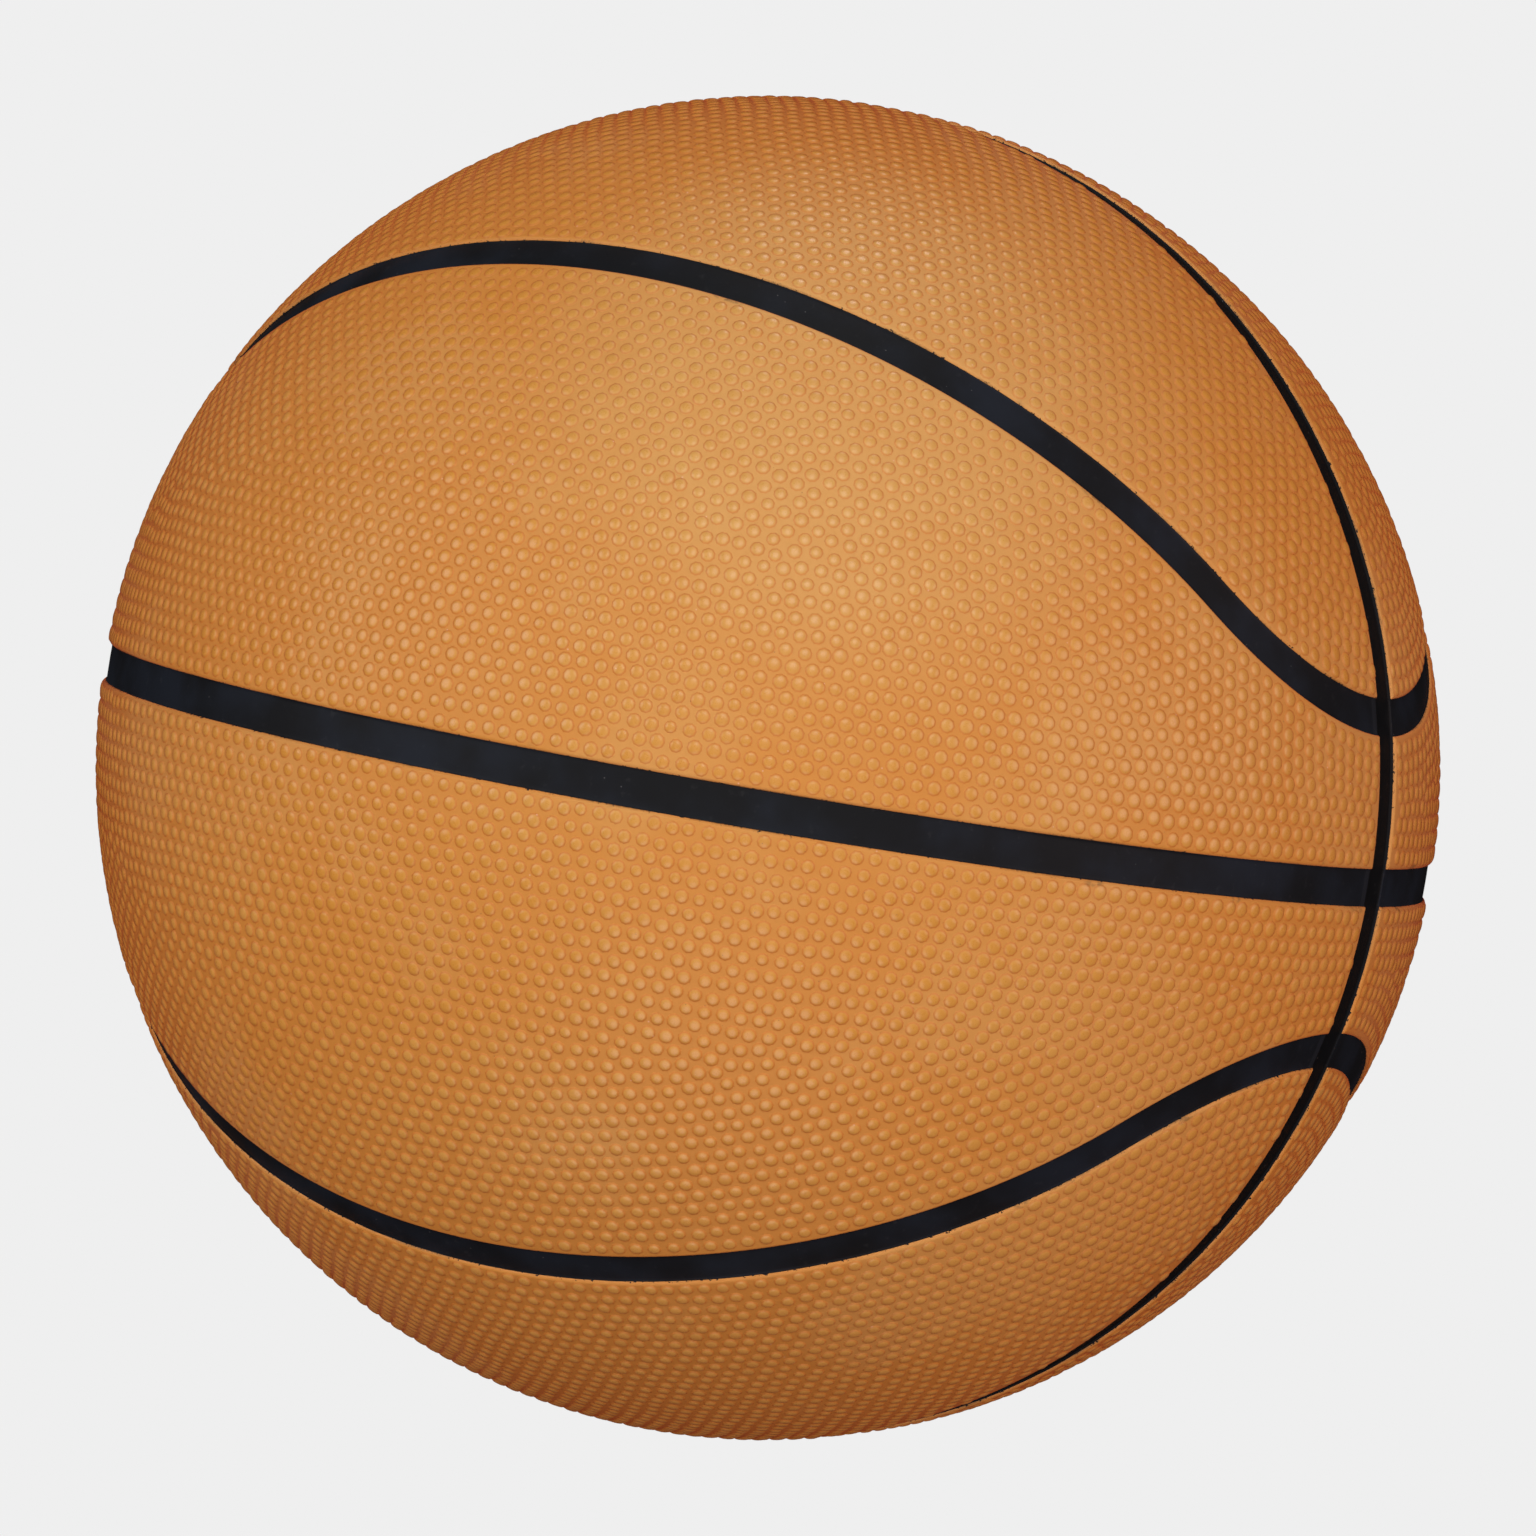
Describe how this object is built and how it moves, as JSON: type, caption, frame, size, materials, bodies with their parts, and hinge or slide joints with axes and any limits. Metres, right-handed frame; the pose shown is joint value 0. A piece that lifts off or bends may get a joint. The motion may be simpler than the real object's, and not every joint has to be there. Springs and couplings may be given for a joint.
{
  "type": "basketball",
  "caption": "Inflated ball of pebbled cover panels with recessed dark channels over a ribbed rubber carcass, a thread winding and a bladder with a needle valve.",
  "frame": {"origin": "centre of the ball", "axes": "+Z square to the equator channel; the meridian channel lies in the plane Y = 0, so the two channels cross on the X axis; -Y is the middle of the front, and the valve is on the +Y side"},
  "size_m": [0.2302, 0.2304, 0.2304],
  "materials": {
    "cover_rubber": "satin",
    "channel_rubber": "satin",
    "nylon_thread": "matte",
    "bladder_rubber": "matte",
    "valve_rubber": "satin",
    "core_rubber": "satin"
  },
  "bodies": {
    "root": {"bladder": "bladder_rubber", "thread_winding": "nylon_thread", "carcass": "channel_rubber", "upper_front_band": "cover_rubber", "upper_back_band": "cover_rubber", "upper_front_cap": "cover_rubber", "upper_back_cap": "cover_rubber", "lower_front_band": "cover_rubber", "lower_back_band": "cover_rubber", "lower_front_cap": "cover_rubber", "lower_back_cap": "cover_rubber", "valve_housing": "valve_rubber", "valve_core": "core_rubber"}
  },
  "joints": []
}
